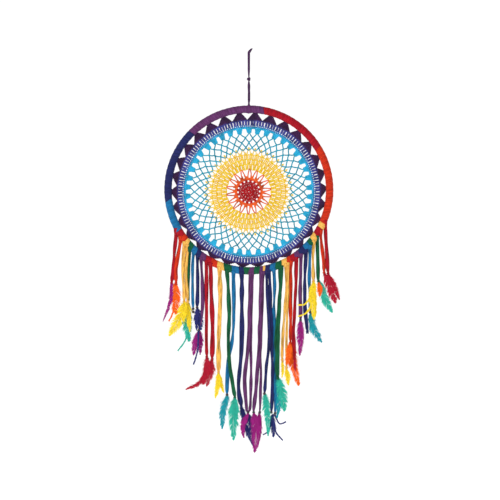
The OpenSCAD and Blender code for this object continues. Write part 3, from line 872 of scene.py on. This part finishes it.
def feather_start(strand, route, others):
    """Where a quill comes from: its knot, or the shaft of the feather it grows beside."""
    place = (route[0][0] * MM, 0, route[0][1] * MM)
    knots = [np.array(at) * MM for s, _, at in BEADS if s == strand]
    shafts = [p for path in others for p in path[::4]]
    for places, limit in ((knots, 12 * MM), (shafts, 9 * MM), (knots, 30 * MM)):
        found = nearest(place, places, limit)
        if found is not None:
            return found
    return None


def make_feathers(plumes):
    """Every feather, in a list for each strand, with its shaft's path."""
    made = {}
    for number, (strand, colour, half_w, depth, route) in enumerate(FEATHERS, 1):
        group = made.setdefault(strand, [])
        start = feather_start(strand, route, [path for _, path in group])
        group.append(make_feather(number, strand, colour, half_w, depth, route, start, plumes))
    return made


# ---------------------------------------------------------------- wrapping


def laid_turns(a, b, lean_a, lean_b, turn_w):
    """A stretch of wrapping between two angles: rows of points round the tube, and their uv."""
    around_n = 40
    phi = np.linspace(0, 2 * math.pi, around_n, endpoint=False)
    rng = np.random.default_rng(int(a * 10) % 977 + 3)
    arc = math.radians(b - a) * RING_R
    s = np.linspace(0, 1, max(6, int(arc / MM)) + 1)
    s = np.concatenate([[0.0], s, [1.0]])
    first, last = a + lean_a * np.cos(phi), b + lean_b * np.cos(phi)
    theta = np.radians(first[None, :] * (1 - s)[:, None] + last[None, :] * s[:, None])
    laid = (theta - math.radians(a)) * RING_R / turn_w - phi[None, :] / (2 * math.pi) + rng.random()
    part = laid % 1.0
    edge = np.clip(part / 0.9, 0, 1) - np.clip((part - 0.9) / 0.1, 0, 1)
    creases = 0.16 * np.sin(5 * phi[None, :] + 9 * theta / math.radians(b - a) + rng.random() * 6)
    creases = creases * np.sin(3 * phi[None, :] + 17 * theta + rng.random() * 6)
    ends = np.minimum(1, np.minimum(s, 1 - s)[:, None] * arc / (1.6 * MM)) ** 0.5
    radius = TUBE_R + (-0.75 + 0.55 * edge + creases + 0.35 * ends) * MM
    radius[0], radius[-1] = CORE_R, CORE_R
    away = RING_R + radius * np.cos(phi)
    depth = -radius * np.sin(phi) * np.ones_like(theta)
    rows = np.stack([away * np.sin(theta), depth, RING_Z + away * np.cos(theta)], axis=-1)
    run = np.concatenate([laid, laid[:, :1] - 1], axis=1) * turn_w / CLOTH_REPEAT
    uv = np.stack([run, np.broadcast_to(np.linspace(0, 7.5, around_n + 1), run.shape)], axis=-1)
    return rows, uv


def make_band(name, stretches, cloths, turn_w):
    """One colour of the wrapping: turns of jersey laid over each other round the tube."""
    colour = name.split("_")[1]
    shape = Shape()
    for stretch in stretches:
        shape.grid(*laid_turns(*stretch, turn_w), wrap=True)
    thing = shape.made(name, cloths[colour], f"{colour}_jersey")
    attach(thing, "hoop")
    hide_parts(name)


def make_wrapping(cloths):
    """All the bands. Two that meet lean the same way where they touch."""
    rng = np.random.default_rng(11)
    leans = {}

    def lean(angle):
        """How far the wrapping leans where two bands meet, in degrees."""
        key = round(angle % 360, 3)
        if key not in leans:
            leans[key] = rng.uniform(0.4, 1.3) * (1 if 114 <= key <= 180 else -1)
        return leans[key]

    for colour, a, b in LONG_BANDS:
        make_band(f"wrap_{colour}", [(a, b, lean(a), lean(b))], cloths, 13 * MM)
    for colour in sorted({c for c, _, _ in SHORT_BANDS}):
        stretches = [(a, b, lean(a), lean(b)) for c, a, b in SHORT_BANDS if c == colour]
        make_band(f"turns_{colour}", stretches, cloths, 8 * MM)


# ---------------------------------------------------------------- crocheted web


def polar(r, angle, y=0.0):
    """A point of the web: radius in mm, degrees clockwise from the top, depth in mm."""
    a = math.radians(angle)
    return np.array([r * MM * math.sin(a), y * MM, WEB_Z + r * MM * math.cos(a)])


def circle(r, wobble=0.0, waves=0):
    """A closed path round the web, with its last point on its first."""
    angles = np.linspace(0, 360, 361)
    return np.array([polar(r + wobble * math.cos(math.radians(waves * a)), a) for a in angles])


def bent(start, end, bow):
    """A short path between two points, bowed sideways by bow in mm."""
    t = np.linspace(0, 1, 9)[:, None]
    line = start + (end - start) * t
    across = np.cross((end - start) / np.linalg.norm(end - start), FRONT_BACK)
    return line + across * bow * MM * np.sin(math.pi * t)


def stitches(shape, r0, r1, angles, strand_mm, rng, spread=0.75, twist=1.6):
    """Tall stitches standing side by side between two radii."""
    for angle in angles:
        lean = rng.uniform(-0.35, 0.35) * 60 / max(r0, 8)
        path = bent(polar(r0, angle - lean), polar(r1, angle + lean), rng.uniform(-0.2, 0.2))
        rope(shape, path, strand_mm * MM, (r1 - r0) / twist * MM, strand_mm * spread * MM,
             phase=rng.uniform(0, 6), fineness=6)


def spread_angles(count, start=0.0):
    """count angles evenly round the web, moved on by a fraction of one step."""
    return [360 * (k + start) / count for k in range(count)]


def make_web_centre(threads, rng):
    """Three rounds of stitches, then a round of pairs with openings between them."""
    shape = Shape()
    stitches(shape, 1.5, 9.5, spread_angles(13), 1.15, rng)
    stitches(shape, 9, 17.5, spread_angles(27, 0.5), 1.1, rng)
    stitches(shape, 17, CENTRE_R, spread_angles(38, 0.3), 1.1, rng)
    for r in (9.3, 17.3, CENTRE_R - 0.2):
        rope(shape, circle(r), 0.75 * MM, 3.2 * MM, 0.6 * MM, closed=True)
    pairs = [a + d for a in spread_angles(16, 0.4) for d in (-3.2, 3.2)]
    stitches(shape, CENTRE_R + 0.8, CENTRE_R + 5.6, pairs, 1.15, rng)
    return shape.made("web_centre", threads["red"], "crochet_red")


def make_orange_round(threads, rng):
    """One round of short stitches between two chains."""
    shape = Shape()
    rope(shape, circle(29.8), 0.95 * MM, 3.2 * MM, 0.75 * MM, closed=True)
    stitches(shape, 30, ORANGE_R + 0.5, spread_angles(72), 0.95, rng)
    rope(shape, circle(ORANGE_R - 0.2), 0.8 * MM, 3.2 * MM, 0.65 * MM, closed=True)
    return shape.made("web_orange_round", threads["orange"], "crochet_orange")


def make_petals(threads, rng):
    """Eighteen pointed loops round the orange, with short stitches filling their feet."""
    shape = Shape()
    for mid in spread_angles(PETALS, 0.1):
        mid += rng.uniform(-1.2, 1.2)
        top = PETAL_R + rng.uniform(-1, 0.8)
        for hand in (-1, 1):
            foot = polar(ORANGE_R + 0.2, mid + hand * rng.uniform(7.8, 8.8))
            tip = polar(top, mid + hand * 0.9)
            rope(shape, bent(foot, tip, hand * rng.uniform(-1.1, -0.1)), 1.05 * MM, 3.8 * MM, 0.65 * MM)
            filled = polar(rng.uniform(39, 44), mid + hand * rng.uniform(3.6, 5.6))
            rope(shape, bent(polar(ORANGE_R - 0.5, mid + hand * 5.6), filled, 0), 0.95 * MM, 4 * MM, 0.75 * MM)
        between = bent(polar(ORANGE_R - 0.5, mid + 10), polar(ORANGE_R + 4.6, mid + 10), 0)
        rope(shape, between, 1.0 * MM, 4 * MM, 0.8 * MM)
    return shape.made("web_petals", threads["rust"], "crochet_orange")


def make_yellow_rounds(threads, rng):
    """Three rounds of fans, each half a column on from the last, with spikes round the outside."""
    shape = Shape()
    rope(shape, circle(PETAL_R - 1.6, 0.9, PETALS), 0.75 * MM, 3.2 * MM, 0.6 * MM, closed=True)
    for row, (r0, r1) in enumerate(YELLOW_ROUNDS):
        gap = 2 * COLUMN_HALF * (0.236, 0.252, 0.268)[row]
        angles = [a + d * gap for a in spread_angles(COLUMNS, row / 2 + 0.5) for d in (-1.15, 0, 1.15)]
        stitches(shape, r0, r1, angles, (0.9, 1.05, 1.15)[row], rng)
        rope(shape, circle(r1 - 0.3), 0.75 * MM, 3.4 * MM, 0.6 * MM, closed=True)
    for mid in spread_angles(COLUMNS):
        tip = polar(YELLOW_R + 17 + rng.uniform(-2, 2), mid)
        for hand in (-1, 1):
            foot = polar(YELLOW_R - 1.5, mid + hand * 2.7)
            rope(shape, bent(foot, tip, -hand * 0.8), 0.85 * MM, 3.6 * MM, 0.6 * MM)
        beside = mid + COLUMN_HALF
        short = polar(YELLOW_R + 4.5 + rng.uniform(-1, 1), beside)
        rope(shape, bent(polar(YELLOW_R - 1.5, beside), short, 0.3), 1.1 * MM, 4 * MM, 0.85 * MM)
    return shape.made("web_yellow_rounds", threads["yellow"], "crochet_yellow")


def net_points():
    """The net's knots, a list for each round: each round stands half a column on from the last."""
    rng = np.random.default_rng(31)
    return [
        [polar(r + rng.uniform(-1.3, 1.3), COLUMN_HALF * (2 * k + row % 2) + rng.uniform(-0.8, 0.8))
         for k in range(COLUMNS)]
        for row, r in enumerate(NET_ROUNDS)
    ]


def make_net(threads, rng):
    """Diamond mesh of chain stitches."""
    shape = Shape()
    points = net_points()
    for row in range(len(points) - 1):
        turned = 1 if row % 2 == 0 else -1
        for k in range(COLUMNS):
            for hand in (0, 1):
                other = (k - hand * turned) % COLUMNS
                bow = rng.uniform(0.2, 1.5) * (1 if hand else -1) * turned
                rope(shape, bent(points[row][k], points[row + 1][other], bow), 1.06 * MM, 4.2 * MM, 0.78 * MM,
                     phase=rng.uniform(0, 6))
    # The chains are the turquoise yarn; their darker teal copy is painted shade on the thin lines.
    return shape.made("web_net_chains", threads["teal"], "crochet_turquoise")


def make_clusters(threads, rng):
    """Solid wedges of tall stitches worked into the net's last round, joined by short chains."""
    shape = Shape()
    for k, tip in enumerate(net_points()[-1]):
        mid = 2 * COLUMN_HALF * k
        for d in (-3.2, -1.9, -0.6, 0.6, 1.9, 3.2):
            start = tip + (polar(NET_ROUNDS[-1], mid + d * 0.5) - polar(NET_ROUNDS[-1] + 2, mid))
            rope(shape, bent(start, polar(NET_R - 0.5, mid + d), 0.3 * d), 1.1 * MM, 5 * MM, 0.75 * MM,
                 phase=rng.uniform(0, 6))
        for r, cut in ((NET_R - 1.3, 2.7), (NET_R - 3.3, 2.9)):
            chain = bent(polar(r, mid + cut), polar(r, mid + 2 * COLUMN_HALF - cut), -0.6)
            rope(shape, chain, 0.95 * MM, 3.2 * MM, 0.65 * MM)
    return shape.made("web_net_clusters", threads["turquoise"], "crochet_turquoise")


def make_border_foot(threads, rng):
    """The border's inner round of short, close stitches."""
    shape = Shape()
    rope(shape, circle(NET_R + 0.1), 0.9 * MM, 3.4 * MM, 0.7 * MM, closed=True)
    angles = [a + rng.uniform(-0.15, 0.15) for a in spread_angles(200)]
    stitches(shape, NET_R, NET_R + 5.1, angles, 1.2, rng, twist=1.2)
    return shape.made("web_border_foot", threads["sky"], "crochet_turquoise")


def make_border(threads, rng):
    """The border's outer round of thick stitches with slits between, and its rim."""
    shape = Shape()
    for angle in spread_angles(150):
        angle += rng.uniform(-0.15, 0.15)
        pair = [angle - 0.36, angle + 0.36]
        stitches(shape, NET_R + 4, BORDER_R - 2.2, pair, rng.uniform(1.2, 1.36), rng, twist=2.1)
    for r in (BORDER_R - 2, BORDER_R):
        rope(shape, circle(r), 0.9 * MM, 3.4 * MM, 0.65 * MM, closed=True)
    return shape.made("web_border_rim", threads["violet"], "crochet_violet")


def make_picots(threads, rng):
    """Pale loops on the border's rim between two triangles."""
    shape = Shape()
    for mid in spread_angles(TRIANGLES, -0.1):
        for d in (-1.0, 0.2, 1.1):
            top = polar(BORDER_R + 0.8, mid + d + rng.uniform(-0.6, 0.6))
            rope(shape, bent(polar(BORDER_R - 3.5, mid + d), top, 0.5), 0.45 * MM, 3 * MM, 0.35 * MM)
    return shape.made("web_rim_loops", threads["lilac"], "crochet_violet")


def make_triangles(threads, rng):
    """Solid triangles worked in rows, from the border to a blunt tip sewn to the ring."""
    shape = Shape()
    half_base = 180 / TRIANGLES - 0.1
    ring_middle = np.array([0, 0, RING_Z])
    inner = RING_R - TUBE_R
    half_tip = math.degrees(4.6 * MM / inner)
    for mid in spread_angles(TRIANGLES, -0.6):
        left, right = [polar(BORDER_R + 0.6, mid + hand * half_base) for hand in (-1, 1)]
        tips = []
        for hand in (-1, 1):
            a = math.radians(mid + hand * half_tip)
            tips.append(ring_middle + (inner + 0.6 * MM) * np.array([math.sin(a), 0, math.cos(a)]))
        tall = np.linalg.norm((tips[0] + tips[1]) / 2 - (left + right) / 2)
        rows = max(4, int(round(tall / (2.1 * MM))))
        for row in range(rows + 1):
            h = row / rows
            a = left + (tips[0] - left) * h
            b = right + (tips[1] - right) * h
            unit = (b - a) / np.linalg.norm(b - a)
            swell = 0.5 * MM * math.sin(math.pi * h) - 0.3 * MM
            rope(shape, bent(a - unit * swell, b + unit * swell, rng.uniform(-0.25, 0.25)), 1.1 * MM, 3.8 * MM,
                 0.65 * MM, phase=rng.uniform(0, 6), fineness=4)
    return shape.made("web_triangles", threads["plum"], "crochet_plum")


def make_web(threads):
    """Every round of the web, riding on the hoop."""
    rng = np.random.default_rng(23)
    parts = [
        (make_web_centre, ["web_centre"]), (make_orange_round, ["web_orange_round"]),
        (make_petals, ["web_petals"]), (make_yellow_rounds, ["web_yellow_rounds"]),
        (make_net, ["web_net"]), (make_clusters, ["web_net"]), (make_border_foot, ["web_border"]),
        (make_border, ["web_border"]), (make_picots, []),
        (make_triangles, ["web_triangles"]),
    ]
    for make, nodes in parts:
        thing = make(threads, rng)
        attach(thing, "hoop")
        if nodes:
            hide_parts(*nodes)


# ---------------------------------------------------------------- hanger


def make_loop(strip_cloth):
    """The strip folded over the hook with its face to the front, its top leaning where the hook has bent it."""
    low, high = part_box("hanging_loop")
    foot = low.z
    wide, top = 9 * MM, high.z + 2.2 * MM
    route = [(-1.5 * MM, foot - 1.5 * MM), (-1.5 * MM, foot), (-6 * MM, -50 * MM), (-wide, -22 * MM),
             (-6.5 * MM, -4 * MM), (0, top), (6.5 * MM, -4 * MM), (wide, -22 * MM), (6 * MM, -50 * MM),
             (1.5 * MM, foot), (1.5 * MM, foot - 1.5 * MM)]
    curve = smooth(route, 10)
    lean = 8 * MM * np.clip((curve[:, 1] + 6 * MM) / (top + 6 * MM), 0, 1)
    path = resampled(np.stack([lean, curve[:, 0], curve[:, 1]], axis=1), 2 * MM)
    n = len(path)
    at = np.linspace(0, 1, n)
    rng = np.random.default_rng(5)
    shape = Shape()
    ends = np.clip(np.minimum(at, 1 - at) * 7, 0, 1)
    crown = 1 - 0.35 * np.exp(-(((at - 0.5) / 0.06) ** 2))
    wide_at = 6 * MM * (1 + drift(rng, at, 4, 0.05)) * (0.5 + 0.5 * ends) * crown
    turn = math.pi / 2 + drift(rng, at, 3, 0.12)
    strip(shape, path, wide_at, 0.8 * MM, np.full(n, 1.3 * MM), turn, np.full(n, 1.4), hint=ACROSS)
    loop = shape.made("hanging_loop_strip", strip_cloth, "purple_strip")
    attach(loop, "hanger")
    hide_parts("hanging_loop")
    return loop, path


def make_hanger_knot(strip_cloth):
    """The knot that closes the loop."""
    shape = Shape()
    knot(shape, KNOT, 3.4 * MM, 1.75 * MM, 0.4)
    knot(shape, KNOT - np.array([0.9 * MM, 0, 0.4 * MM]), 2.3 * MM, 1.6 * MM, 1.9)
    tied = shape.made("hanger_knot_tied", strip_cloth, "purple_strip")
    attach(tied, "knot")
    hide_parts("hanger_knot")


def make_tail(strip_cloth):
    """The doubled strip from the knot to the ring. It widens where it meets the hitch."""
    n = 30
    foot_z = RING_Z + RING_R + TUBE_R + 0.8 * MM
    z = np.linspace(TAIL_HIGH.z + 1.5 * MM, foot_z, n)
    at = np.linspace(0, 1, n)
    rng = np.random.default_rng(8)
    ends = np.clip(np.minimum(at, 1 - at) * 5, 0, 1) ** 0.7
    flare = 1 + 0.7 * np.clip((at - 0.93) / 0.07, 0, 1)
    shape = Shape()
    for hand in (-1, 1):
        x = hand * 0.4 * MM * np.sin(math.pi * 2.2 * at) + 0.4 * MM * np.sin(math.pi * at)
        path = np.stack([x, np.full(n, hand * 0.95 * MM), z], axis=1)
        wide = 5.8 * MM * (1 + drift(rng, at, 3, 0.06)) * (0.5 + 0.5 * ends) * flare
        deep, turn = np.full(n, -0.8 * hand * MM), drift(rng, at, 2, 0.16)
        strip(shape, path, wide, 0.8 * MM, deep, turn, np.full(n, 1.2))
    tail = shape.made("hanger_tail_strips", strip_cloth, "purple_strip")
    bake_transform(tail)
    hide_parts("hanger_tail")


def make_hitch(wrap_cloth):
    """Three overlapping turns of strip round the top of the ring."""
    n = 48
    turn = np.linspace(0, 2 * math.pi, n)
    even = np.ones(n)
    shape = Shape()
    for x, lean, lift in ((-2.4, 0.10, 0.5), (2.4, -0.08, 0.5), (0.2, 0.04, 1.1)):
        r = TUBE_R + lift * MM
        c, s = r * np.cos(turn), r * np.sin(turn)
        path = np.stack([x * MM + lean * c, s, RING_Z + RING_R + c], axis=1)
        strip(shape, path, 5.2 * MM * even, 0.7 * MM, -0.5 * MM * even, math.pi / 2 * even, 1.1 * even,
              hint=ACROSS)
    hitch = shape.made("hanger_hitch_turns", wrap_cloth, "purple_jersey")
    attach(hitch, "hoop")
    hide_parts("hanger_hitch")


# ---------------------------------------------------------------- what each ribbon carries


def declare_ribbons(ribbons, beads, feathers):
    """For every ribbon, finds the knots, beads and feathers nearest its lower end."""
    carried = {}
    for strand, groups in beads.items():
        ends = [(ribbon, path[-1]) for ribbon, path, s, _ in ribbons if s == strand]
        for thing, places in groups:
            holder = min(ends, key=lambda e: min(np.linalg.norm(e[1] - p) for p in places))[0]
            carried.setdefault(holder.name, []).append(thing)
        for thing, path in feathers.get(strand, []):
            holder = min(ends, key=lambda e: np.linalg.norm(e[1] - path[0]))[0]
            carried.setdefault(holder.name, []).append(thing)
    for ribbon, path, _, width in ribbons:
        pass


# ---------------------------------------------------------------- put together

make_camera()

cloths = {colour: jersey(f"{colour}_jersey", rgb) for colour, rgb in JERSEY.items()}
# Painted shade: the hung ribbons take a copy of each jersey with darker painted shade in the creases and
# lighter painted highlights on the folds.
deep_shaded_cloths = {colour: jersey(f"{colour}_ribbon", rgb, 0.45, 1.3) for colour, rgb in JERSEY.items()}
plumes = {colour: plume(f"feather_{colour}", rgb) for colour, rgb in PLUMES.items()}
strip_cloth = jersey("purple_strip", (72, 38, 80))
threads = {
    "red": yarn("crochet_red", (178, 6, 20), light=1.3, dark=0.4),
    "orange": yarn("crochet_orange", (236, 92, 28)),
    "rust": yarn("crochet_rust", (232, 96, 26), light=1.2, deep=(150, 44, 18)),
    "yellow": yarn("crochet_yellow", (250, 212, 40), light=1.12, patch=170, deep=(240, 184, 34)),
    # Painted shade: the net's thin chains take this darker copy of the turquoise yarn, standing in for the
    # shade that falls on them.
    "teal": yarn("crochet_turquoise_shaded", (12, 160, 186), light=1.25, dark=0.6),
    "turquoise": yarn("crochet_turquoise", (38, 178, 220), light=1.25, dark=0.7),
    "sky": yarn("crochet_sky", (52, 124, 186), light=1.4, dark=0.6),
    "violet": yarn("crochet_violet", (62, 64, 140), light=1.45, dark=0.5),
    "lilac": yarn("crochet_lilac", (168, 158, 208), light=1.2, dark=0.75),
    "plum": yarn("crochet_plum", (54, 16, 66), light=1.5, dark=0.5),
}
wood = bead_wood()

ribbons = make_ribbons(deep_shaded_cloths)
beads = make_beads(cloths, wood)
feathers = make_feathers(plumes)

declare_ribbons(ribbons, beads, feathers)

loop, loop_path = make_loop(strip_cloth)
make_hanger_knot(strip_cloth)
make_tail(strip_cloth)
make_hitch(cloths["purple"])
make_wrapping(cloths)
make_web(threads)
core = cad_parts["ring_core"]
core.data.materials.clear()
core.data.materials.append(cane())
make_studio()
